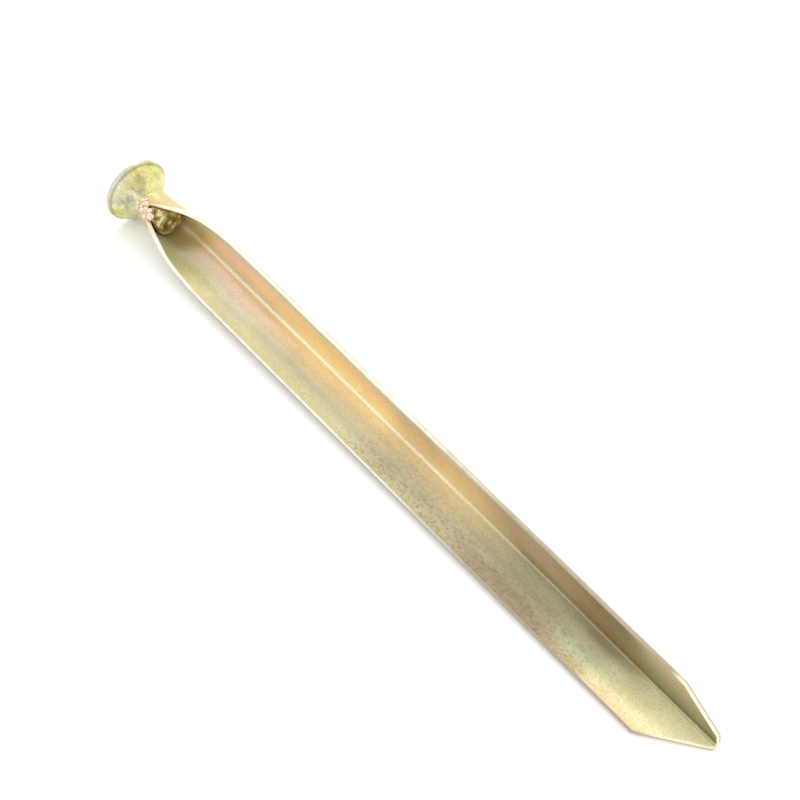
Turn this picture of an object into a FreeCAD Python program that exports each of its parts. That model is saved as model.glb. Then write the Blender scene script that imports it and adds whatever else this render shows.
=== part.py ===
"""Tent stake: a folded steel channel whose top is rolled round a headed pin and welded there.

Millimetres. The stake lies along X: the head's striking face is at -X and the point at +X.
The pin's axis runs along X at y = 0, one head radius above the origin. One wall of the channel
is horizontal, below the other, and the channel opens up and towards -Y.
"""
import FreeCAD, Part
import math
import os
import Sketcher

X_AXIS = FreeCAD.Vector(1, 0, 0)

DIMENSIONS = [
    ("overall_length", 300.0, "striking face to point"),
    ("sheet_thickness", 1.5, "steel of the channel"),
    ("wall_width", 16.7, "inside of one wall, from the sharp inner corner to the free edge"),
    ("channel_angle", 83.0, "between the two walls"),
    ("bend_radius", 1.2, "inside of the fold"),
    ("pin_to_wall", 6.5, "pin axis to the inside of either wall"),
    ("collar_start", 10.6, "striking face to the top edge of the sheet"),
    ("collar_end", 14.0, "striking face to where the seam opens"),
    ("fold_start", 30.0, "striking face to where the fold has come down to its full depth"),
    ("channel_start", 64.0, "striking face to where the walls are flat"),
    ("corner_trim_depth", 4.2, "how far the sheet's top corners are cut back at the seam"),
    ("corner_trim_width", 6.5, "how far to each side of the seam that cut reaches"),
    ("level_point_length", 20.0, "the oblique cut of the horizontal wall, along the stake"),
    ("upright_point_length", 14.7, "the oblique cut of the other wall, along the stake"),
    ("level_blunt", 1.5, "blunt end, from the inner corner along the horizontal wall"),
    ("upright_blunt", 4.8, "blunt end, from the inner corner along the other wall"),
    ("head_diameter", 24.5, "rim of the head"),
    ("rim_thickness", 1.3, "straight edge of the rim"),
    ("rim_rounding", 0.5, "both corners of the rim"),
    ("cone_length", 8.6, "underside of the head, from the rim to the shank"),
    ("neck_radius", 0.8, "fillet between the cone and the shank"),
    ("shank_diameter", 10.0, "pin inside the collar"),
    ("collar_gap", 0.03, "between the shank and the collar"),
    ("shank_end", 22.4, "striking face to the end of the pin"),
    ("shank_chamfer", 0.7, "end of the pin"),
    ("recess_diameter", 5.4, "hollow in the end of the pin"),
    ("recess_depth", 2.2, "hollow in the end of the pin"),
    ("seam_bead", 1.5, "radius of one drop of the seam weld"),
    ("neck_bead", 1.6, "radius of one drop of the neck weld"),
]

SECTIONS_IN_FLARE = 15
CUT_MARGIN = 30.0


def make_sheet(doc):
    """The driving dimensions: one row each, with the alias that expressions use."""
    sheet = doc.addObject("Spreadsheet::Sheet", "Dimensions")
    for row, (alias, value, meaning) in enumerate(DIMENSIONS, start=1):
        sheet.set("A%d" % row, alias)
        sheet.set("B%d" % row, str(value))
        sheet.set("C%d" % row, meaning)
        sheet.setAlias("B%d" % row, alias)
    doc.recompute()
    return sheet


def bind(thing, **sizes):
    """Bind properties of an object to expressions over the sheet's aliases."""
    for name, expression in sizes.items():
        thing.setExpression(name, expression)


# The channel's cross-section. It is drawn with two coordinates: the lateral one runs from the
# horizontal wall to the upright one, and depth runs from the fold out through the open side.


def section_plane(sheet):
    """The lateral and depth directions in space, and the depth of the pin's axis."""
    half = math.radians(sheet.channel_angle / 2)
    lateral = FreeCAD.Vector(0, math.sin(half), math.cos(half))
    depth = FreeCAD.Vector(0, -math.cos(half), math.sin(half))
    return lateral, depth, sheet.pin_to_wall / math.sin(half)


def collar_mid_radius(sheet):
    return sheet.shank_diameter / 2 + sheet.collar_gap + sheet.sheet_thickness / 2


def closing_at(sheet, x):
    """How closed the section is at x: 1 in the collar, 0 in the channel, opening fast at first."""
    run = sheet.channel_start - sheet.collar_end
    left = (sheet.channel_start - x) / run
    return min(max(left, 0.0), 1.0) ** 3


def lift_at(sheet, x):
    """How far the fold is raised to the collar at x: 1 in the collar, 0 in the channel."""
    left = (sheet.fold_start - x) / (sheet.fold_start - sheet.collar_end)
    left = min(max(left, 0.0), 1.0)
    return left * left


def section_arcs(sheet, x):
    """Radius and half angle of the fold's arc, the same for each wall's, and the fold's depth.

    The sheet keeps its width, so each arc keeps its length while it bends. In the channel the
    walls are flat, and in the collar both arcs are one circle.
    """
    closing = closing_at(sheet, x)
    half = math.radians(sheet.channel_angle / 2)
    open_bend = math.pi / 2 - half
    fold_length = (sheet.bend_radius + sheet.sheet_thickness / 2) * open_bend
    wall_length = sheet.wall_width - sheet.bend_radius * math.tan(open_bend)
    collar = collar_mid_radius(sheet)
    bend = open_bend + closing * (fold_length / collar - open_bend)
    wall_bend = closing * wall_length / collar
    open_depth = sheet.bend_radius * (1 / math.sin(half) - 1) - sheet.sheet_thickness / 2
    collar_depth = section_plane(sheet)[2] - collar
    depth = open_depth + lift_at(sheet, x) * (collar_depth - open_depth)
    return fold_length / bend, bend, wall_length, wall_bend, depth


def section_point(sheet, x, side, offset, along):
    """A point of the section at x: side is -1 or 1, offset is outwards from the sheet's middle,
    and along runs from 0 at the fold through 1, where the wall begins, to 2 at the free edge."""
    radius, bend, wall_length, wall_bend, fold_depth = section_arcs(sheet, x)
    turned = bend * min(along, 1.0)
    reach = radius + offset
    across = reach * math.sin(turned)
    out = fold_depth + radius - reach * math.cos(turned)
    if along > 1:
        part = along - 1
        if wall_bend > 0:
            wall_radius = wall_length / wall_bend + offset
            end = bend + part * wall_bend
            across += wall_radius * (math.sin(end) - math.sin(bend))
            out += wall_radius * (math.cos(bend) - math.cos(end))
        else:
            across += part * wall_length * math.cos(bend)
            out += part * wall_length * math.sin(bend)
    lateral, depth, _ = section_plane(sheet)
    return X_AXIS * x + lateral * (side * across) + depth * out


def section_face_edges(sheet, x, offset):
    """One face of the sheet as three edges: a wall, the fold and the other wall."""

    def point(side, along):
        return section_point(sheet, x, side, offset, along)

    def wall(side):
        if closing_at(sheet, x) == 0:
            return Part.LineSegment(point(side, 1), point(side, 2)).toShape()
        return Part.Arc(point(side, 1), point(side, 1.5), point(side, 2)).toShape()

    fold = Part.Arc(point(-1, 1), point(-1, 0), point(1, 1)).toShape()
    return [wall(-1), fold, wall(1)]


def add_section(doc, sheet, name, x):
    """The closed outline of the sheet at one place along the stake."""
    half = sheet.sheet_thickness / 2
    edges = []
    for offset in (-half, half):
        edges += section_face_edges(sheet, x, offset)
    for side in (-1, 1):
        inner = section_point(sheet, x, side, -half, 2)
        outer = section_point(sheet, x, side, half, 2)
        edges.append(Part.LineSegment(inner, outer).toShape())
    section = doc.addObject("Part::Feature", name)
    section.Shape = Part.Wire(Part.__sortEdges__(edges))
    return section


def add_flare(doc, sheet):
    """The stretch where the channel's walls curl in until their free edges nearly meet."""
    sections = []
    run = sheet.channel_start - sheet.collar_end
    for i in range(SECTIONS_IN_FLARE):
        fraction = i / (SECTIONS_IN_FLARE - 1)
        x = sheet.collar_end + run * fraction**1.5
        sections.append(add_section(doc, sheet, "flare_section_%d" % i, x))
    flare = doc.addObject("Part::Loft", "flare")
    flare.Sections = sections
    flare.Solid = True
    flare.Ruled = False
    return flare


def add_straight(doc, sheet, name, start, length):
    """A stretch of constant section. length is an expression."""
    stretch = doc.addObject("Part::Extrusion", name)
    stretch.Base = add_section(doc, sheet, name + "_section", start)
    stretch.DirMode = "Custom"
    stretch.Dir = X_AXIS
    stretch.Solid = True
    bind(stretch, LengthFwd=length)
    return stretch


def add_point_cutter(doc, sheet, name, along_wall, cut_length, blunt):
    """A block that shears one wall obliquely, square to its faces. along_wall points from the
    inner corner to the wall's free edge, and the cut ends at blunt from that corner."""
    turn = math.atan2(sheet.wall_width - blunt, cut_length)
    back = along_wall * math.sin(turn) - X_AXIS * math.cos(turn)
    beyond = along_wall * math.cos(turn) + X_AXIS * math.sin(turn)
    normal = along_wall.cross(X_AXIS)
    blunt_end = X_AXIS * sheet.overall_length + along_wall * blunt
    base = blunt_end - back * blunt - normal * (2 * sheet.sheet_thickness)
    cutter = doc.addObject("Part::Box", name)
    cutter.Length = cutter.Width = CUT_MARGIN
    bind(cutter, Height="4 * Dimensions.sheet_thickness")
    frame = FreeCAD.Rotation(back, beyond, normal, "XYZ")
    cutter.Placement = FreeCAD.Placement(base, frame)
    return cutter


def add_corner_cutter(doc, sheet):
    """A wedge that trims the sheet's top corners back to a shallow V at the seam."""
    lateral, depth, pin_depth = section_plane(sheet)
    cutter = doc.addObject("Part::Wedge", "corner_cutter")
    cutter.X2min = cutter.X2max = 0
    cutter.Ymin = 0
    cutter.Zmin = cutter.Z2min = 0
    bind(cutter, Xmin="-Dimensions.corner_trim_width", Xmax="Dimensions.corner_trim_width")
    bind(cutter, Ymax="Dimensions.corner_trim_depth")
    bind(cutter, Zmax="Dimensions.shank_diameter", Z2max="Dimensions.shank_diameter")
    frame = FreeCAD.Rotation(lateral, X_AXIS, depth * -1, "XYZ")
    base = X_AXIS * sheet.collar_start + depth * (pin_depth + sheet.shank_diameter)
    cutter.Placement = FreeCAD.Placement(base, frame)
    return cutter


def add_blade(doc, sheet):
    """The sheet-metal channel: collar, flare and straight channel with its sharpened point."""
    collar_length = "Dimensions.collar_end - Dimensions.collar_start"
    channel_length = "Dimensions.overall_length - Dimensions.channel_start"
    collar = add_straight(doc, sheet, "collar", sheet.collar_start, collar_length)
    channel = add_straight(doc, sheet, "channel", sheet.channel_start, channel_length)
    blade = doc.addObject("Part::MultiFuse", "uncut_blade")
    blade.Shapes = [collar, add_flare(doc, sheet), channel]
    angle = math.radians(sheet.channel_angle)
    level = FreeCAD.Vector(0, -1, 0)
    upright = FreeCAD.Vector(0, -math.cos(angle), math.sin(angle))
    level_cut = (level, sheet.level_point_length, sheet.level_blunt)
    upright_cut = (upright, sheet.upright_point_length, sheet.upright_blunt)
    cutters = [
        add_point_cutter(doc, sheet, "level_cutter", *level_cut),
        add_point_cutter(doc, sheet, "upright_cutter", *upright_cut),
        add_corner_cutter(doc, sheet),
    ]
    for cutter in cutters:
        cut = doc.addObject("Part::Cut", "blade_after_" + cutter.Name)
        cut.Base = blade
        cut.Tool = cutter
        blade = cut
    blade.Label = "channel_blade"
    return blade


# The pin: one turned piece with a flared head, drawn as half its outline and revolved.

PIN_OUTLINE = [(0, 0), (0, 12), (1, 12), (10, 5), (22, 5), (22, 2), (20, 2), (20, 0)]
PIN_SIZES = [
    ("head_radius", "DistanceY", (0, 1, 0, 2), "Dimensions.head_diameter / 2"),
    ("rim", "DistanceX", (1, 1, 1, 2), "Dimensions.rim_thickness"),
    ("cone", "DistanceX", (2, 1, 2, 2), "Dimensions.cone_length"),
    ("reach", "DistanceX", (-1, 1, 3, 2), "Dimensions.shank_end"),
    ("shank_radius", "DistanceY", (-1, 1, 3, 2), "Dimensions.shank_diameter / 2"),
    ("recess_radius", "DistanceY", (-1, 1, 4, 2), "Dimensions.recess_diameter / 2"),
    ("recess", "DistanceX", (5, 2, 5, 1), "Dimensions.recess_depth"),
]


def add_pin_sketch(body):
    """Half the pin's outline: X is the axis, from the striking face, and Z the radius."""
    plane = [f for f in body.Origin.OriginFeatures if f.Role == "XZ_Plane"][0]
    sketch = body.newObject("Sketcher::SketchObject", "pin_outline")
    sketch.AttachmentSupport = [(plane, "")]
    sketch.MapMode = "FlatFace"
    corners = [FreeCAD.Vector(x, radius, 0) for x, radius in PIN_OUTLINE]
    count = len(corners)
    for i in range(count):
        sketch.addGeometry(Part.LineSegment(corners[i], corners[(i + 1) % count]), False)
    for i in range(count):
        sketch.addConstraint(Sketcher.Constraint("Coincident", i, 2, (i + 1) % count, 1))
    sketch.addConstraint(Sketcher.Constraint("Coincident", 0, 1, -1, 1))
    for line in (0, 4, 6):
        sketch.addConstraint(Sketcher.Constraint("Vertical", line))
    for line in (1, 3, 5):
        sketch.addConstraint(Sketcher.Constraint("Horizontal", line))
    sketch.addConstraint(Sketcher.Constraint("PointOnObject", 6, 2, -1))
    for name, kind, ends, expression in PIN_SIZES:
        index = sketch.addConstraint(Sketcher.Constraint(kind, *ends, 1.0))
        sketch.renameConstraint(index, name)
        sketch.setExpression("Constraints." + name, expression)
    return sketch


def ring_edges(feature, x, radius):
    """The names of the round edges of a turned shape at one place and radius."""
    names = []
    for number, edge in enumerate(feature.Shape.Edges, start=1):
        curve = edge.Curve
        if isinstance(curve, Part.Circle):
            if abs(curve.Center.x - x) < 0.01 and abs(curve.Radius - radius) < 0.01:
                names.append("Edge%d" % number)
    return names


def add_dress(doc, body, kind, name, base, ring, **size):
    """A fillet or chamfer on the ring at ring = (x, radius). size is one bound property."""
    edges = ring_edges(base, *ring)
    dress = body.newObject("PartDesign::" + kind, name)
    dress.Base = (base, edges)
    bind(dress, **size)
    doc.recompute()
    return dress


def add_pin(doc, sheet):
    """The pin: thin-rimmed head with a conical underside, and a shank with a hollow end."""
    body = doc.addObject("PartDesign::Body", "pin")
    sketch = add_pin_sketch(body)
    turned = body.newObject("PartDesign::Revolution", "turned_pin")
    turned.Profile = sketch
    turned.ReferenceAxis = (sketch, ["H_Axis"])
    turned.Angle = 360
    doc.recompute()
    head_radius = sheet.head_diameter / 2
    shank_radius = sheet.shank_diameter / 2
    rim = sheet.rim_thickness
    rounding = "Dimensions.rim_rounding"
    top = (0, head_radius)
    under = (rim, head_radius)
    neck = (rim + sheet.cone_length, shank_radius)
    end = (sheet.shank_end, shank_radius)
    step = add_dress(doc, body, "Fillet", "rim_top", turned, top, Radius=rounding)
    step = add_dress(doc, body, "Fillet", "rim_under", step, under, Radius=rounding)
    step = add_dress(doc, body, "Fillet", "neck", step, neck, Radius="Dimensions.neck_radius")
    add_dress(doc, body, "Chamfer", "shank_tip", step, end, Size="Dimensions.shank_chamfer")
    body.Label = "head_pin"
    return body


# The welds: drops of metal that ran together, laid round the pin's axis. A drop's place is its
# distance from the striking face, its angle from the seam and its distance from the pin's axis.


def add_weld(doc, sheet, name, bead, drops, neighbours):
    """A row of drops as one lump, cut back to where it meets the pieces that it joins."""
    lateral, depth, _ = section_plane(sheet)
    spheres = []
    for number, (x, angle, reach, scale) in enumerate(drops, start=1):
        turn = math.radians(angle)
        around = lateral * math.sin(turn) + depth * math.cos(turn)
        drop = doc.addObject("Part::Sphere", "%s_drop_%d" % (name, number))
        bind(drop, Radius="Dimensions.%s * %g" % (bead, scale))
        drop.Placement.Base = X_AXIS * x + around * reach
        spheres.append(drop)
    lump = doc.addObject("Part::MultiFuse", name + "_lump")
    lump.Shapes = spheres
    lump.Placement = pin_placement(sheet)
    weld = lump
    for neighbour in neighbours:
        cut = doc.addObject("Part::Cut", "%s_beside_%s" % (name, neighbour.Name))
        cut.Base = weld
        cut.Tool = neighbour
        weld = cut
    weld.Label = name
    return weld


def add_welds(doc, sheet, blade, pin):
    """The weld of the sheet's top edge to the pin's neck, and the one that closes the seam."""
    collar = collar_mid_radius(sheet) + sheet.sheet_thickness / 2
    shank = sheet.shank_diameter / 2
    seam_top = sheet.collar_start + sheet.corner_trim_depth
    neck_drops = [
        (seam_top - 3.7, -9, shank + 0.7, 1.0),
        (seam_top - 3.4, 11, shank + 0.6, 0.9),
        (seam_top - 2.3, 2, shank + 0.9, 1.0),
        (seam_top - 1.2, -10, shank + 0.9, 0.95),
        (seam_top - 1.1, 9, shank + 0.8, 0.85),
    ]
    seam_drops = [
        (seam_top + 0.7, -4, collar - 0.1, 1.0),
        (seam_top + 1.7, -13, collar, 1.0),
        (seam_top + 2.2, 0, collar - 0.1, 0.95),
        (seam_top + 3.5, -8, collar - 0.1, 1.0),
    ]
    neck = add_weld(doc, sheet, "neck_weld", "neck_bead", neck_drops, [blade, pin])
    seam = add_weld(doc, sheet, "seam_weld", "seam_bead", seam_drops, [blade, pin, neck])
    return [neck, seam]


def pin_placement(sheet):
    """The pin's axis lies one head radius up, with the stake's length centred on the origin."""
    base = FreeCAD.Vector(-sheet.overall_length / 2, 0, sheet.head_diameter / 2)
    return FreeCAD.Placement(base, FreeCAD.Rotation())


def blade_placement(sheet):
    """The blade is drawn from its inner corner, and the pin's axis is at pin_depth from it."""
    _, depth, pin_depth = section_plane(sheet)
    base = pin_placement(sheet).Base - depth * pin_depth
    return FreeCAD.Placement(base, FreeCAD.Rotation())


def check(doc, pieces):
    """Stop if any object failed, or if a piece isn't one valid solid."""
    for thing in doc.Objects:
        if "Invalid" in thing.State or "Error" in thing.State:
            raise RuntimeError("%s failed: %s" % (thing.Name, thing.State))
    for piece in pieces:
        shape = piece.Shape
        if shape.isNull() or not shape.isValid() or len(shape.Solids) != 1:
            raise RuntimeError("%s is not one valid solid" % piece.Label)


def main():
    doc = FreeCAD.newDocument("tent_stake")
    sheet = make_sheet(doc)
    blade = add_blade(doc, sheet)
    blade.Placement = blade_placement(sheet)
    pin = add_pin(doc, sheet)
    pin.Placement = pin_placement(sheet)
    doc.recompute()
    pieces = [blade, pin] + add_welds(doc, sheet, blade, pin)
    doc.recompute()
    check(doc, pieces)
    os.makedirs("parts", exist_ok=True)
    for piece in pieces:
        piece.Shape.exportStep("parts/%s.step" % piece.Label)
        box = piece.Shape.optimalBoundingBox()
        print(piece.Label, "volume %.1f" % piece.Shape.Volume, box)


main()
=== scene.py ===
"""Looks of the tent stake: a folded, yellow-plated steel blade round a headed pin, with its welds.

Metres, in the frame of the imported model: the stake lies along X, head at -X and point at +X.
One wall of the channel is horizontal and the other stands beside it, on the +Y side.
"""

import math
import random

import bmesh
import bpy
from mathutils import Matrix, Vector, noise

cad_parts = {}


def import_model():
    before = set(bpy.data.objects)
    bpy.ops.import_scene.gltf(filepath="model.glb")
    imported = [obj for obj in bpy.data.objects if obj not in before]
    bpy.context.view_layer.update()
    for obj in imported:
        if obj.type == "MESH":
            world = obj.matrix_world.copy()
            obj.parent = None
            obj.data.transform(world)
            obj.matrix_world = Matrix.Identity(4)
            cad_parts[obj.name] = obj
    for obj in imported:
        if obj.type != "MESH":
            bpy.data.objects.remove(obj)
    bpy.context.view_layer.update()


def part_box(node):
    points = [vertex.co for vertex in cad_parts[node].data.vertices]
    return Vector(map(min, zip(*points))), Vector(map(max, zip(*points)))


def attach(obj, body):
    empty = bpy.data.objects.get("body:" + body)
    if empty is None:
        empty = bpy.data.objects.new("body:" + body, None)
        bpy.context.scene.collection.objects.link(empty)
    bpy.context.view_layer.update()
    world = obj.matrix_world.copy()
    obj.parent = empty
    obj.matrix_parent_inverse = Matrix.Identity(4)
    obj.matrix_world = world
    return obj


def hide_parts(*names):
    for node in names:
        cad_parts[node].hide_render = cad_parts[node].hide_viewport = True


MM = 0.001

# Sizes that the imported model's boxes don't give.
SHEET = 1.5 * MM
WALL = 16.7 * MM
HALF_ANGLE = math.radians(83.0 / 2)
BEND = 1.2 * MM
COLLAR_START = 10.6 * MM
COLLAR_END = 14.0 * MM
FOLD_START = 30.0 * MM
CHANNEL_START = 64.0 * MM
TRIM_DEPTH = 4.2 * MM
TRIM_WIDTH = 6.5 * MM
LEVEL_POINT = 20.0 * MM
LEVEL_BLUNT = 1.5 * MM
UPRIGHT_POINT = 14.7 * MM
UPRIGHT_BLUNT = 4.8 * MM
PIN_TO_WALL = 6.5 * MM
SHANK_RADIUS = 5.0 * MM
COLLAR_RADIUS = SHANK_RADIUS + 0.03 * MM + SHEET / 2
RIM = 1.3 * MM
RIM_ROUNDING = 0.5 * MM
CONE = 8.6 * MM
NECK_ROUNDING = 0.8 * MM
RECESS_RADIUS = 2.7 * MM
RECESS_DEPTH = 2.2 * MM
CUTTER_SIDE = 30 * MM

# The studio and the camera.
VIEW_AZIMUTH = math.radians(52.5)
VIEW_ELEVATION = math.radians(48.0)
VIEW_DISTANCE = 0.868
VIEW_AIM = Vector((-10.7, 11.8, 14.8)) * MM
VIEW_LENS = 119.0

X_AXIS = Vector((1, 0, 0))
LATERAL = Vector((0, math.sin(HALF_ANGLE), math.cos(HALF_ANGLE)))
DEPTH = Vector((0, -math.cos(HALF_ANGLE), math.sin(HALF_ANGLE)))
PIN_DEPTH = PIN_TO_WALL / math.sin(HALF_ANGLE)


# ---- mesh helpers


def new_piece(name, bm):
    """An object for a bmesh, linked to the scene."""
    mesh = bpy.data.meshes.new(name)
    bm.to_mesh(mesh)
    bm.free()
    piece = bpy.data.objects.new(name, mesh)
    bpy.context.scene.collection.objects.link(piece)
    return piece


def apply_modifiers(piece):
    """Turn what the modifiers make into the piece's own mesh."""
    graph = bpy.context.evaluated_depsgraph_get()
    mesh = bpy.data.meshes.new_from_object(piece.evaluated_get(graph))
    piece.modifiers.clear()
    piece.data = mesh


def smooth(piece, sharp_degrees):
    """Smooth shading, but sharp where faces meet at more than this angle."""
    piece.data.shade_smooth()
    piece.data.set_sharp_from_angle(angle=math.radians(sharp_degrees))


def spread(first, last, count):
    """count numbers from first to last, both included."""
    return [first + (last - first) * i / (count - 1) for i in range(count)]


# ---- the blade

FOLD_LENGTH = (BEND + SHEET / 2) * (math.pi / 2 - HALF_ANGLE)
WALL_LENGTH = WALL - BEND * math.tan(math.pi / 2 - HALF_ANGLE)
HALF_WIDTH = FOLD_LENGTH + WALL_LENGTH
EDGE_ROUNDING = 0.3 * MM


def closing_at(x):
    """How closed the section is at x from the striking face: 1 in the collar, 0 in the channel."""
    left = (CHANNEL_START - x) / (CHANNEL_START - COLLAR_END)
    return min(max(left, 0), 1) ** 3


def lift_at(x):
    """How far the fold is raised to the collar at x: 1 in the collar, 0 in the channel."""
    left = (FOLD_START - x) / (FOLD_START - COLLAR_END)
    return min(max(left, 0), 1) ** 2


def section_point(x, across, offset):
    """Lateral and depth coordinates of a point of the sheet's section.

    across is the distance from the fold in the sheet's middle, and offset is outwards from it.
    """
    closing = closing_at(x)
    open_bend = math.pi / 2 - HALF_ANGLE
    bend = open_bend + closing * (FOLD_LENGTH / COLLAR_RADIUS - open_bend)
    radius = FOLD_LENGTH / bend
    open_depth = BEND * (1 / math.sin(HALF_ANGLE) - 1) - SHEET / 2
    fold_depth = open_depth + lift_at(x) * (PIN_DEPTH - COLLAR_RADIUS - open_depth)
    side = 1 if across >= 0 else -1
    reach = abs(across)
    turned = bend * min(reach / FOLD_LENGTH, 1)
    lateral = (radius + offset) * math.sin(turned)
    depth = fold_depth + radius - (radius + offset) * math.cos(turned)
    beyond = max(reach - FOLD_LENGTH, 0)
    if closing > 0:
        wall_radius = COLLAR_RADIUS / closing
        end = bend + beyond / wall_radius
        lateral += (wall_radius + offset) * (math.sin(end) - math.sin(bend))
        depth += (wall_radius + offset) * (math.cos(bend) - math.cos(end))
    else:
        lateral += beyond * math.cos(bend)
        depth += beyond * math.sin(bend)
    return side * lateral, depth


def sheet_outline():
    """The section's closed outline as (across, offset, on_edge), with rounded free edges."""
    half = SHEET / 2
    flat = HALF_WIDTH - EDGE_ROUNDING
    face = [-flat + 2 * flat * i / 66 for i in range(67)]
    fold = spread(-FOLD_LENGTH, FOLD_LENGTH, 13)
    face = sorted([a for a in face if abs(a) > FOLD_LENGTH * 1.1] + fold)
    outline = [(a, -half, False) for a in face]
    for turn in spread(0, 180, 11)[1:-1]:
        angle = math.radians(turn)
        bulge = math.sin(angle) ** 0.5
        outline.append((flat + EDGE_ROUNDING * bulge, -half * math.cos(angle), True))
    outline += [(a, half, False) for a in reversed(face)]
    for turn in spread(0, 180, 11)[1:-1]:
        angle = math.radians(turn)
        bulge = math.sin(angle) ** 0.5
        outline.append((-flat - EDGE_ROUNDING * bulge, half * math.cos(angle), True))
    return outline


def sheet_waver(x, across):
    """Slight unevenness of the pressed sheet, outwards from its middle."""
    slow = noise.noise(Vector((x * 38, across * 60, 1.7)))
    quick = noise.noise(Vector((x * 140, across * 190, 4.1)))
    return (slow * 0.09 + quick * 0.025) * MM


def blade_stations(length):
    """Where the section is repeated along the blade, from the striking face."""
    collar = spread(COLLAR_START, COLLAR_END, 7)
    flare = spread(COLLAR_END, CHANNEL_START, 70)[1:]
    channel = spread(CHANNEL_START, length, 130)[1:]
    return collar + flare + channel


def blade_mesh(front, fold, length):
    """The whole blade before it is cut: one outline swept along X."""
    bm = bmesh.new()
    outline = sheet_outline()
    rings = []
    for x in blade_stations(length):
        ring = []
        for across, offset, on_edge in outline:
            waver = sheet_waver(x, across) * (1 - closing_at(x))
            lateral, depth = section_point(x, across, offset)
            near, near_depth = section_point(x, across, offset + SHEET)
            outward = LATERAL * (near - lateral) + DEPTH * (near_depth - depth)
            place = fold + LATERAL * lateral + DEPTH * depth + outward.normalized() * waver
            place.x = front + x
            ring.append(bm.verts.new(place))
        rings.append(ring)
    count = len(outline)
    for ring, following in zip(rings, rings[1:]):
        for i in range(count):
            j = (i + 1) % count
            quad = bm.faces.new((ring[i], ring[j], following[j], following[i]))
            quad.material_index = 1 if outline[i][2] or outline[j][2] else 0
    for cap in (bm.faces.new(rings[0][::-1]), bm.faces.new(rings[-1])):
        cap.material_index = 1
    bmesh.ops.recalc_face_normals(bm, faces=bm.faces)
    return bm


def cutter(corners, height, origin, axes):
    """A solid whose outline is in the plane of the first two axes, to be cut from the blade."""
    bm = bmesh.new()
    low = [bm.verts.new((x, y, 0)) for x, y in corners]
    high = [bm.verts.new((x, y, height)) for x, y in corners]
    bm.faces.new(low[::-1])
    bm.faces.new(high)
    for i in range(len(corners)):
        j = (i + 1) % len(corners)
        bm.faces.new((low[i], low[j], high[j], high[i]))
    for face in bm.faces:
        face.material_index = 1
    bmesh.ops.recalc_face_normals(bm, faces=bm.faces)
    tool = new_piece("cutter", bm)
    tool.matrix_world = Matrix.Translation(origin) @ Matrix(axes).transposed().to_4x4()
    return tool


def point_cutter(tip, along_wall, cut_length, blunt):
    """Shears one wall obliquely, square to its faces, down to blunt from the inner corner."""
    turn = math.atan2(WALL - blunt, cut_length)
    back = along_wall * math.sin(turn) - X_AXIS * math.cos(turn)
    beyond = along_wall * math.cos(turn) + X_AXIS * math.sin(turn)
    normal = along_wall.cross(X_AXIS)
    origin = tip + along_wall * blunt - back * blunt - normal * (2 * SHEET)
    square = [(0, 0), (CUTTER_SIDE, 0), (CUTTER_SIDE, CUTTER_SIDE), (0, CUTTER_SIDE)]
    return cutter(square, 4 * SHEET, origin, (back, beyond, normal))


def corner_cutter(front, fold):
    """Trims the sheet's top corners back to a shallow V at the seam."""
    origin = fold + DEPTH * (PIN_DEPTH + 2 * SHANK_RADIUS)
    origin.x = front + COLLAR_START
    wedge = [(-TRIM_WIDTH, -0.1 * MM), (TRIM_WIDTH, -0.1 * MM), (0, TRIM_DEPTH)]
    return cutter(wedge, 2 * SHANK_RADIUS, origin, (LATERAL, X_AXIS, -DEPTH))


def make_blade(front, fold, length, materials):
    """The cut blade, with softened corners. fold is on the line where the walls' insides meet."""
    blade = new_piece("plated_blade", blade_mesh(front, fold, length))
    tip = Vector((front + length, fold.y, fold.z))
    level = Vector((0, -1, 0))
    upright = Vector((0, -math.cos(2 * HALF_ANGLE), math.sin(2 * HALF_ANGLE)))
    cutters = [
        point_cutter(tip, level, LEVEL_POINT, LEVEL_BLUNT),
        point_cutter(tip, upright, UPRIGHT_POINT, UPRIGHT_BLUNT),
        corner_cutter(front, fold),
    ]
    for piece in [blade] + cutters:
        for material in materials:
            piece.data.materials.append(material)
    for tool in cutters:
        cut = blade.modifiers.new("cut", "BOOLEAN")
        cut.object = tool
        cut.solver = "EXACT"
    bpy.context.view_layer.update()
    apply_modifiers(blade)
    for tool in cutters:
        bpy.data.objects.remove(tool)
    soften = blade.modifiers.new("soften", "BEVEL")
    soften.width = 0.13 * MM
    soften.segments = 2
    soften.limit_method = "ANGLE"
    soften.angle_limit = math.radians(40)
    apply_modifiers(blade)
    smooth(blade, 50)
    return blade


# ---- the pin


def rounded_path(corners):
    """Points along a path of (x, radius, rounding) corners, with each corner rounded."""
    points = []
    for i, (x, y, rounding) in enumerate(corners):
        here = Vector((x, y))
        if rounding == 0 or i in (0, len(corners) - 1):
            points.append(here)
            continue
        before = (Vector(corners[i - 1][:2]) - here).normalized()
        after = (Vector(corners[i + 1][:2]) - here).normalized()
        opening = before.angle(after)
        reach = rounding / math.tan(opening / 2)
        centre = here + (before + after).normalized() * (rounding / math.sin(opening / 2))
        start = here + before * reach - centre
        sweep = math.pi - opening
        turn = 1 if start.cross(here + after * reach - centre) > 0 else -1
        for part in spread(0, 1, max(4, int(sweep / 0.12))):
            spun = Matrix.Rotation(turn * sweep * part, 2) @ start
            points.append(centre + spun)
    return points


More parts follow.
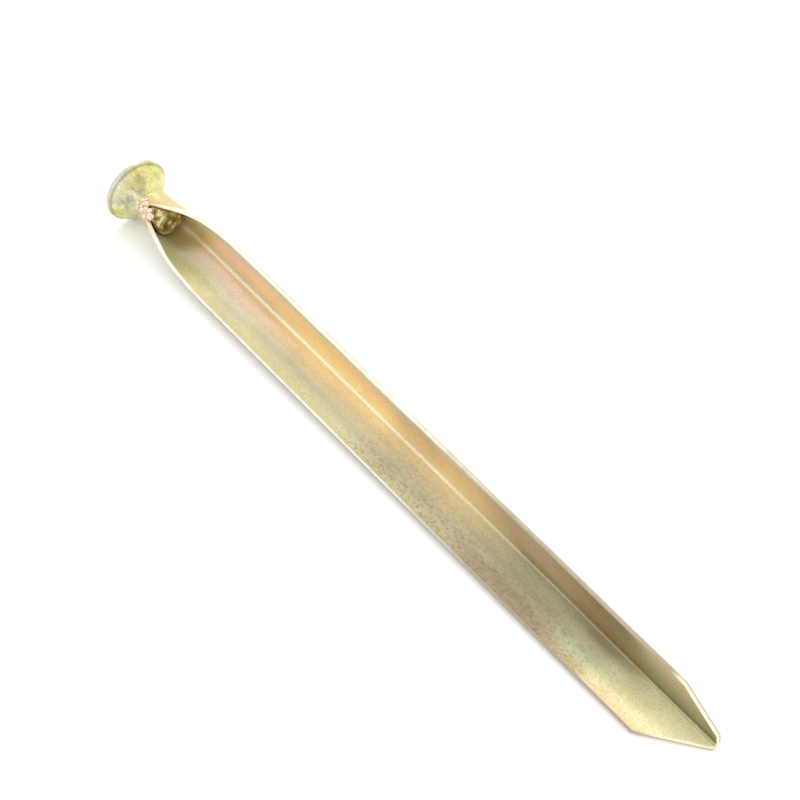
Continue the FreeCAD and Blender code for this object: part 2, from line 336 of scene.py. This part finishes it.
def lathe(bm, points, base, segments):
    """Revolve (x, radius) points about the axis through base along X."""
    rings = []
    for x, radius in points:
        if radius < 1e-7:
            rings.append([bm.verts.new(base + Vector((x, 0, 0)))])
            continue
        ring = []
        for i in range(segments):
            angle = 2 * math.pi * i / segments
            wobble = noise.noise(Vector((x * 300, math.cos(angle) * 1.4, math.sin(angle) * 1.4)))
            reach = radius - abs(wobble) * 0.05 * MM
            around = Vector((0, math.cos(angle), math.sin(angle))) * reach
            ring.append(bm.verts.new(base + Vector((x, 0, 0)) + around))
        rings.append(ring)
    for ring, following in zip(rings, rings[1:]):
        for i in range(segments):
            j = (i + 1) % segments
            corners = [ring[i % len(ring)], following[i % len(following)]]
            corners += [following[j % len(following)], ring[j % len(ring)]]
            bm.faces.new(list(dict.fromkeys(corners)))
    bmesh.ops.recalc_face_normals(bm, faces=bm.faces)


def make_pin(base, head_radius, length, material):
    """The turned pin. base is the middle of its striking face."""
    corners = [
        (0, 0, 0),
        (0, head_radius * 0.55, 0),
        (0, head_radius, RIM_ROUNDING),
        (RIM, head_radius, RIM_ROUNDING),
        (RIM + CONE, SHANK_RADIUS, NECK_ROUNDING),
        (COLLAR_START + 1 * MM, SHANK_RADIUS, 0),
        (length * 0.8, SHANK_RADIUS, 0),
        (length, SHANK_RADIUS, 0.75 * MM),
        (length, RECESS_RADIUS, 0.45 * MM),
        (length - RECESS_DEPTH, RECESS_RADIUS - 0.5 * MM, 0.8 * MM),
        (length - RECESS_DEPTH - 0.2 * MM, 0, 0),
    ]
    bm = bmesh.new()
    lathe(bm, rounded_path(corners), base, 160)
    pin = new_piece("plated_pin", bm)
    pin.data.materials.append(material)
    smooth(pin, 60)
    return pin


# ---- the welds


def weld_lump(name, drops, material, seed):
    """Drops of (centre, radius) run together into one rough lump."""
    bm = bmesh.new()
    chance = random.Random(seed)
    for centre, radius in drops:
        balls = [(centre, radius)]
        for _ in range(4):
            away = Vector([chance.uniform(-1, 1) for _ in range(3)]).normalized()
            balls.append((centre + away * radius * 0.6, radius * chance.uniform(0.5, 0.75)))
        for place, size in balls:
            ball = bmesh.ops.create_icosphere(bm, subdivisions=3, radius=size)
            bmesh.ops.translate(bm, verts=ball["verts"], vec=place)
    lump = new_piece(name, bm)
    remesh = lump.modifiers.new("remesh", "REMESH")
    remesh.mode = "VOXEL"
    remesh.voxel_size = 0.11 * MM
    relax = lump.modifiers.new("relax", "SMOOTH")
    relax.factor = 0.5
    relax.iterations = 16
    apply_modifiers(lump)
    for vertex in lump.data.vertices:
        place = vertex.co * 1100 + Vector((seed, 0, 0))
        vertex.co += vertex.normal * (noise.noise(place) * 0.2 * MM)
    lump.data.materials.append(material)
    lump.data.shade_smooth()
    return lump


def seam_place(base, x, angle, reach):
    """A point at x from the striking face, turned from the seam about the pin's axis."""
    turn = math.radians(angle)
    around = LATERAL * math.sin(turn) + DEPTH * math.cos(turn)
    return base + Vector((x, 0, 0)) + around * reach


def make_welds(base, material):
    """Both welds. A drop is given in millimetres and degrees: x, angle, reach and radius."""
    neck_drops = [
        (11.1, -9, 5.7, 1.5),
        (11.4, 11, 5.6, 1.35),
        (12.5, 2, 5.9, 1.55),
        (13.5, -12, 5.9, 1.5),
        (13.6, 10, 5.8, 1.3),
    ]
    seam_drops = [
        (15.5, -4, 6.4, 1.4),
        (16.5, -13, 6.5, 1.45),
        (17.0, 1, 6.4, 1.3),
        (18.3, -8, 6.4, 1.4),
    ]
    welds = []
    for name, rows, seed in (("neck_bead", neck_drops, 3), ("seam_bead", seam_drops, 8)):
        drops = [(seam_place(base, x * MM, a, r * MM), s * MM) for x, a, r, s in rows]
        welds.append(weld_lump(name, drops, material, seed))
    return welds


# ---- materials


def colour(red, green, blue):
    """A colour given as 0 to 255 on screen, as the shader wants it."""
    return tuple(((c / 255) ** 2.2) for c in (red, green, blue)) + (1.0,)


class Shader:
    """A material and short ways to add its nodes."""

    def __init__(self, name):
        self.material = bpy.data.materials.new(name)
        self.material.use_nodes = True
        self.tree = self.material.node_tree
        self.surface = self.tree.nodes["Principled BSDF"]
        self.place = self.node("ShaderNodeTexCoord").outputs["Object"]

    def node(self, kind, **settings):
        made = self.tree.nodes.new(kind)
        for name, value in settings.items():
            setattr(made, name, value)
        return made

    def put(self, value, socket):
        """Link an output to a socket, or set the socket's own value."""
        if isinstance(value, bpy.types.NodeSocket):
            self.tree.links.new(value, socket)
        else:
            socket.default_value = value

    def maths(self, operation, *values):
        made = self.node("ShaderNodeMath", operation=operation)
        for value, socket in zip(values, made.inputs):
            self.put(value, socket)
        return made.outputs[0]

    def fit(self, value, low, high, to_low=0.0, to_high=1.0, smooth_step=True):
        """value mapped from low..high to to_low..to_high, held at the ends."""
        kind = "SMOOTHSTEP" if smooth_step else "LINEAR"
        made = self.node("ShaderNodeMapRange", interpolation_type=kind)
        for number, socket in zip((value, low, high, to_low, to_high), made.inputs):
            self.put(number, socket)
        return made.outputs[0]

    def along(self, direction, origin=(0, 0, 0)):
        """How far the surface point is from origin in a direction, in metres."""
        moved = self.node("ShaderNodeVectorMath", operation="SUBTRACT")
        self.put(self.place, moved.inputs[0])
        moved.inputs[1].default_value = origin
        dot = self.node("ShaderNodeVectorMath", operation="DOT_PRODUCT")
        self.put(moved.outputs[0], dot.inputs[0])
        dot.inputs[1].default_value = direction
        return dot.outputs["Value"]

    def noise(self, scale, detail=4.0, stretch=(1, 1, 1), shift=0.0):
        """Noise from 0 to 1; scale is in features per metre."""
        moved = self.node("ShaderNodeMapping")
        self.put(self.place, moved.inputs["Vector"])
        moved.inputs["Scale"].default_value = stretch
        moved.inputs["Location"].default_value = (shift, shift * 0.7, shift * 1.3)
        made = self.node("ShaderNodeTexNoise")
        self.put(moved.outputs[0], made.inputs["Vector"])
        made.inputs["Scale"].default_value = scale
        made.inputs["Detail"].default_value = detail
        made.inputs["Roughness"].default_value = 0.55
        return made.outputs["Fac"]

    def cells(self, scale):
        """Distance to the nearest of many scattered points."""
        made = self.node("ShaderNodeTexVoronoi")
        self.put(self.place, made.inputs["Vector"])
        made.inputs["Scale"].default_value = scale
        return made.outputs["Distance"]

    def ramp(self, value, stops):
        """A colour ramp of (position, colour) stops."""
        made = self.node("ShaderNodeValToRGB")
        made.color_ramp.interpolation = "EASE"
        elements = made.color_ramp.elements
        while len(elements) < len(stops):
            elements.new(0.5)
        for element, (position, tint) in zip(elements, stops):
            element.position = position
            element.color = tint
        self.put(value, made.inputs[0])
        return made.outputs[0]

    def mix(self, factor, first, second, blend="MIX"):
        """first where the factor is 0, and second where it is 1."""
        made = self.node("ShaderNodeMix", data_type="RGBA", blend_type=blend)
        self.put(factor, made.inputs["Factor"])
        self.put(first, made.inputs[6])
        self.put(second, made.inputs[7])
        return made.outputs[2]

    def bump(self, height, depth, under=None):
        """A bump of height 0 to 1, depth metres deep, on top of the one under it."""
        made = self.node("ShaderNodeBump")
        made.inputs["Strength"].default_value = 1.0
        made.inputs["Distance"].default_value = depth
        self.put(height, made.inputs["Height"])
        if under is not None:
            self.put(under, made.inputs["Normal"])
        return made.outputs[0]

    def finish(self, tint, roughness, normal, metallic=0.45):
        """Link the surface up, and give the material."""
        self.put(tint, self.surface.inputs["Base Color"])
        self.put(roughness, self.surface.inputs["Roughness"])
        self.put(normal, self.surface.inputs["Normal"])
        self.surface.inputs["Metallic"].default_value = metallic
        return self.material


# Colours across the sheet: -1 is the horizontal wall's free edge, 0 the fold and 1 the other
# wall's free edge.
# They are partly the plating's own rainbow tints and partly painted light. Towards the point, the
# horizontal wall is painted near-white as a highlight and the standing wall darker as shade. A
# painted highlight runs along the fold. Each ramp takes over from the one before it along the
# stake.


def across_ramp(shader, across, stops):
    """Colours across the sheet, from the horizontal wall's free edge (-1) to the other's (1)."""
    place = shader.fit(across, -1.0, 1.0, smooth_step=False)
    return shader.ramp(place, [((a + 1) / 2, colour(*tint)) for a, tint in stops])


FLARE = [
    (-1.0, (206, 182, 136)),
    (-0.6, (186, 180, 128)),
    (-0.2, (186, 164, 112)),
    (0.0, (206, 192, 144)),
    (0.2, (214, 184, 124)),
    (0.6, (214, 198, 140)),
    (0.85, (204, 204, 148)),
    (1.0, (224, 208, 172)),
]
NEAR_HEAD = [
    (-1.0, (196, 180, 140)),
    (-0.72, (200, 198, 152)),
    (-0.48, (226, 224, 206)),
    (-0.25, (247, 229, 214)),
    (-0.08, (230, 209, 178)),
    (0.0, (226, 214, 190)),
    (0.1, (220, 197, 158)),
    (0.5, (240, 194, 140)),
    (0.85, (201, 188, 176)),
    (1.0, (215, 200, 180)),
]
UPPER = [
    (-1.0, (178, 172, 128)),
    (-0.7, (182, 178, 148)),
    (-0.45, (220, 208, 176)),
    (-0.2, (242, 223, 184)),
    (-0.05, (242, 215, 170)),
    (0.0, (243, 237, 198)),
    (0.12, (249, 226, 168)),
    (0.5, (246, 204, 137)),
    (0.85, (207, 196, 163)),
    (1.0, (222, 208, 180)),
]
LOWER = [
    (-1.0, (140, 126, 92)),
    (-0.75, (140, 129, 103)),
    (-0.45, (172, 173, 144)),
    (-0.15, (190, 194, 160)),
    (0.0, (177, 167, 137)),
    (0.12, (163, 149, 111)),
    (0.55, (192, 155, 115)),
    (0.85, (176, 157, 129)),
    (1.0, (176, 160, 134)),
]
NEAR_POINT = [
    (-1.0, (184, 152, 122)),
    (-0.8, (178, 160, 122)),
    (-0.5, (196, 202, 160)),
    (-0.25, (204, 206, 172)),
    (-0.03, (168, 160, 124)),
    (0.08, (142, 124, 86)),
    (0.5, (150, 122, 76)),
    (0.85, (128, 114, 78)),
    (1.0, (122, 108, 86)),
]
# Painted light: a near-white highlight on the horizontal wall by the point, and painted shade on
# the standing wall.
POINT = [
    (-1.0, (236, 204, 160)),
    (-0.6, (255, 246, 188)),
    (-0.3, (255, 254, 206)),
    (-0.06, (252, 252, 206)),
    (0.05, (124, 112, 74)),
    (0.4, (132, 128, 86)),
    (0.85, (160, 148, 112)),
    (1.0, (180, 160, 130)),
]
TINT_AND_LIGHT_BANDS = [
    (NEAR_HEAD, 26 * MM, 44 * MM),
    (UPPER, 55 * MM, 90 * MM),
    (LOWER, 134 * MM, 212 * MM),
    (NEAR_POINT, 238 * MM, 268 * MM),
    (POINT, 264 * MM, 286 * MM),
]


def sheet_material(name, front, fold):
    """Yellow zinc plating on pressed sheet: bands along it, partly its own rainbow tints and
    partly painted light, with grain, stains, pores and a painted dark line in the fold.
    """
    shader = Shader(name)
    drift = shader.noise(34, detail=3, stretch=(0.45, 1, 1))
    lateral = shader.along(LATERAL, fold)
    across = shader.maths("DIVIDE", lateral, WALL * math.sin(HALF_ANGLE))
    sway = shader.fit(drift, 0.25, 0.75, -0.16, 0.16, smooth_step=False)
    across_swayed = shader.maths("ADD", across, shader.maths("MULTIPLY", sway, 0.9))
    # The bands wander, but not over the fold, where the two walls' colours meet.
    near_fold = shader.fit(shader.maths("ABSOLUTE", across), 0.0, 0.18)
    place = shader.mix(near_fold, across, across_swayed)
    x = shader.along((1, 0, 0), (front, 0, 0))
    patch = shader.fit(shader.noise(22, detail=2, shift=0.4), 0.3, 0.7, -0.02, 0.02)
    x_swayed = shader.maths("ADD", x, patch)
    tint = across_ramp(shader, place, FLARE)
    for stops, low, high in TINT_AND_LIGHT_BANDS:
        tint = shader.mix(shader.fit(x_swayed, low, high), tint, across_ramp(shader, place, stops))
    # Painted shade: a dark line in the corner of the fold, standing for the dark reflected in the
    # bend's inner curve, from the middle of the stake to the point.
    corner = shader.maths("ABSOLUTE", shader.maths("ADD", across, 0.035))
    line = shader.fit(corner, 0.012, 0.04, 0.62, 0.0)
    line = shader.maths("MULTIPLY", line, shader.fit(x, 160 * MM, 240 * MM))
    tint = shader.mix(line, tint, colour(84, 72, 46))
    # Fine crystalline grain everywhere, and dark pores along the lower half of the stake.
    grain = shader.noise(2300, detail=3, stretch=(0.7, 1, 1))
    dulled = shader.fit(grain, 0.35, 0.75, 0.0, 0.3)
    tint = shader.mix(dulled, tint, colour(150, 134, 96), "MULTIPLY")
    worn = shader.fit(x_swayed, 0.12, 0.17)
    edge_side = shader.fit(across, -0.95, -0.2, 1.0, 0.25)
    clean_point = shader.fit(x_swayed, 0.255, 0.285, 1.0, 0.2)
    amount = shader.maths("MULTIPLY", shader.maths("MULTIPLY", worn, edge_side), clean_point)
    pores = shader.fit(shader.noise(1250, detail=5, stretch=(0.55, 1, 1), shift=0.9), 0.5, 0.66)
    pore_amount = shader.maths("MULTIPLY", pores, shader.maths("MULTIPLY", amount, 0.62))
    tint = shader.mix(pore_amount, tint, colour(112, 102, 70))
    specks = shader.fit(shader.cells(420), 0.05, 0.12, 1.0, 0.0)
    speck_patch = shader.fit(shader.noise(60, detail=1, shift=0.2), 0.6, 0.68)
    speck_amount = shader.maths("MULTIPLY", specks, shader.maths("MULTIPLY", speck_patch, 0.6))
    tint = shader.mix(speck_amount, tint, colour(96, 78, 56))
    stain = shader.fit(shader.noise(150, detail=4, stretch=(1, 0.5, 0.5), shift=1.6), 0.5, 0.8)
    tint = shader.mix(shader.maths("MULTIPLY", stain, 0.2), tint, colour(170, 160, 128))
    streak = shader.noise(700, detail=3, stretch=(0.06, 1, 1), shift=2.2)
    normal = shader.bump(streak, 0.006 * MM)
    normal = shader.bump(grain, 0.012 * MM, under=normal)
    normal = shader.bump(pores, 0.01 * MM, under=normal)
    roughness = shader.fit(grain, 0.3, 0.7, 0.3, 0.42)
    return shader.finish(tint, roughness, normal)


def edge_material(fold):
    """Sheared edges: painted near-white cream as a highlight on the inner arris, grey towards the
    outside, finely scored.
    """
    shader = Shader("sheared_edge")
    x = shader.along((1, 0, 0))
    blotch = shader.noise(260, detail=4)
    # Painted highlight: the near-white cream stands for light caught on the edge's inner arris.
    tint = shader.mix(shader.fit(blotch, 0.35, 0.7), colour(250, 240, 218), colour(232, 210, 180))
    far = shader.fit(x, -20 * MM, 70 * MM, 0.0, 0.8)
    far = shader.maths("MULTIPLY", far, shader.fit(x, 129 * MM, 136 * MM, 1.0, 0.0))
    tint = shader.mix(far, tint, colour(136, 120, 94))
    below = shader.along((0, 0, -1), fold)
    behind = shader.along((0, math.sin(2 * HALF_ANGLE), math.cos(2 * HALF_ANGLE)), fold)
    outer = shader.maths("MAXIMUM", below, behind)
    shade = shader.fit(outer, 0.5 * SHEET, 0.85 * SHEET, 0.0, 0.75)
    tint = shader.mix(shade, tint, colour(150, 138, 126))
    score = shader.noise(1500, detail=4, stretch=(1, 0.2, 0.2))
    normal = shader.bump(score, 0.02 * MM)
    roughness = shader.fit(blotch, 0.3, 0.7, 0.26, 0.4)
    return shader.finish(tint, roughness, normal)


def pin_material(base):
    """Yellow-green plating on the turned pin, blotched and grainy, with faint turning lines."""
    shader = Shader("plated_pin")
    x = shader.along((1, 0, 0), base)
    blotch = shader.noise(190, detail=4)
    tint = shader.mix(shader.fit(blotch, 0.38, 0.62), colour(226, 220, 150), colour(196, 184, 118))
    cool = shader.fit(shader.noise(120, detail=2, shift=0.6), 0.45, 0.65)
    tint = shader.mix(shader.maths("MULTIPLY", cool, 0.6), tint, colour(186, 194, 190))
    # The rim is painted light grey, with a dark line where the cone begins.
    rim = shader.maths("ABSOLUTE", shader.maths("SUBTRACT", x, 0.6 * RIM))
    tint = shader.mix(shader.fit(rim, 0.4 * RIM, 0.6 * RIM, 0.8, 0.0), tint, colour(206, 200, 192))
    lip = shader.maths("ABSOLUTE", shader.maths("SUBTRACT", x, 1.6 * RIM))
    tint = shader.mix(shader.fit(lip, 0.0, 0.5 * RIM, 0.55, 0.0), tint, colour(128, 112, 78))
    # Dark grey speckled patches on the cone, on the weld's side of it.
    weld_side = shader.fit(shader.along(DEPTH, base), 3.5 * MM, 7 * MM, 0.0, 0.6)
    near = shader.maths("MULTIPLY", weld_side, shader.fit(x, 3 * MM, 6 * MM))
    grey_speckle = shader.fit(shader.noise(420, detail=4, shift=1.1), 0.42, 0.6)
    tint = shader.mix(shader.maths("MULTIPLY", grey_speckle, near), tint, colour(132, 134, 134))
    # Inside the collar and at its end the shank is brown and olive, with bright patches.
    brown_mottle = shader.fit(shader.noise(520, detail=4, shift=0.3), 0.42, 0.58)
    inner = shader.fit(x, 13 * MM, 15 * MM)
    tint = shader.mix(shader.maths("MULTIPLY", brown_mottle, inner), tint, colour(150, 128, 74))
    grain = shader.noise(1700, detail=4)
    worn = shader.fit(grain, 0.4, 0.75, 0.0, 0.45)
    tint = shader.mix(worn, tint, colour(140, 124, 86), "MULTIPLY")
    lines = shader.noise(1400, detail=2, stretch=(1, 0.03, 0.03))
    normal = shader.bump(lines, 0.01 * MM)
    normal = shader.bump(grain, 0.02 * MM, under=normal)
    roughness = shader.fit(blotch, 0.3, 0.7, 0.24, 0.36)
    return shader.finish(tint, roughness, normal, metallic=0.7)


def weld_material():
    """Weld metal, plated over: rough, brown in its hollows, and painted near-white on its crests
    as highlights.
    """
    shader = Shader("plated_weld")
    crest = shader.fit(shader.node("ShaderNodeNewGeometry").outputs["Pointiness"], 0.46, 0.54)
    blotch = shader.fit(shader.noise(700, detail=5), 0.4, 0.6)
    # Painted highlight: the crests are near-white where light would catch them.
    bright = shader.mix(blotch, colour(255, 244, 222), colour(240, 214, 184))
    tint = shader.mix(crest, colour(140, 104, 66), bright)
    grain = shader.noise(2600, detail=4)
    normal = shader.bump(grain, 0.02 * MM)
    roughness = shader.fit(grain, 0.3, 0.7, 0.25, 0.45)
    return shader.finish(tint, roughness, normal)


def floor_material():
    """A plain, matt, nearly white floor."""
    shader = Shader("studio_floor")
    shader.surface.inputs["Base Color"].default_value = (0.95, 0.95, 0.95, 1)
    shader.surface.inputs["Roughness"].default_value = 0.9
    shader.surface.inputs["Specular IOR Level"].default_value = 0.0
    return shader.material


# ---- the studio


def add_camera():
    """The main view: from above the open side, with the head at the far end."""
    camera = bpy.data.objects.new("camera", bpy.data.cameras.new("camera"))
    bpy.context.scene.collection.objects.link(camera)
    level = math.cos(VIEW_ELEVATION)
    back = Vector((math.sin(VIEW_AZIMUTH) * level, -math.cos(VIEW_AZIMUTH) * level, 0))
    back.z = math.sin(VIEW_ELEVATION)
    camera.location = VIEW_AIM + back * VIEW_DISTANCE
    camera.rotation_euler = (-back).to_track_quat("-Z", "Y").to_euler()
    camera.data.lens = VIEW_LENS
    camera.data.sensor_width = 36
    camera.data.clip_start = 0.01
    bpy.context.scene.camera = camera


def add_floor(rim_x, tip_x, wall_z):
    """A floor that touches the head's rim and the blade's wall, as the stake lies."""
    bm = bmesh.new()
    reach = 3.0
    corners = [(-reach, -reach), (reach, -reach), (reach, reach), (-reach, reach)]
    bm.faces.new([bm.verts.new((x, y, 0)) for x, y in corners])
    floor = new_piece("studio_floor", bm)
    floor.data.materials.append(floor_material())
    tilt = math.atan2(wall_z, tip_x - rim_x)
    floor.rotation_euler = (0, -tilt, 0)
    floor.location = (rim_x, 0, -0.1 * MM)


def add_light(name, place, size, power):
    """A rectangular lamp that points at the origin."""
    data = bpy.data.lights.new(name, "AREA")
    data.shape = "RECTANGLE"
    data.size, data.size_y = size
    data.energy = power
    light = bpy.data.objects.new(name, data)
    light.location = place
    light.rotation_euler = (-Vector(place)).to_track_quat("-Z", "Y").to_euler()
    bpy.context.scene.collection.objects.link(light)


def add_studio():
    """Even white light from all round, with two large soft lamps for the highlights."""
    world = bpy.data.worlds.new("studio")
    bpy.context.scene.world = world
    world.use_nodes = True
    background = world.node_tree.nodes["Background"]
    background.inputs["Color"].default_value = (1, 1, 1, 1)
    background.inputs["Strength"].default_value = 1.28
    add_light("key", (-0.6, 0.5, 0.8), (0.5, 0.5), 1.6)
    add_light("fill", (0.5, -0.9, 0.5), (0.8, 0.4), 1.2)
    view = bpy.context.scene.view_settings
    view.view_transform = "Standard"


def main():
    """Build the studio and the four pieces."""
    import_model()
    blade_low, blade_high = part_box("channel_blade")
    pin_low, pin_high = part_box("head_pin")
    front = pin_low[0]
    length = blade_high[0] - front
    head_radius = (pin_high[2] - pin_low[2]) / 2
    base = Vector((front, (pin_low[1] + pin_high[1]) / 2, pin_low[2] + head_radius))
    fold = base - DEPTH * PIN_DEPTH

    add_camera()
    add_studio()
    add_floor(front, blade_high[0], blade_low[2])

    plating = sheet_material("plated_sheet", front, fold)
    blade = make_blade(front, fold, length, [plating, edge_material(fold)])
    pin = make_pin(base, head_radius, pin_high[0] - front, pin_material(base))
    neck, seam = make_welds(base, weld_material())
    rows = [
        (blade, "channel_blade", "plated_sheet"),
        (pin, "head_pin", "plated_pin"),
        (neck, "neck_weld", "weld_metal"),
        (seam, "seam_weld", "weld_metal"),
    ]
    for piece, node, slot in rows:
        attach(piece, "root")
        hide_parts(node)


main()
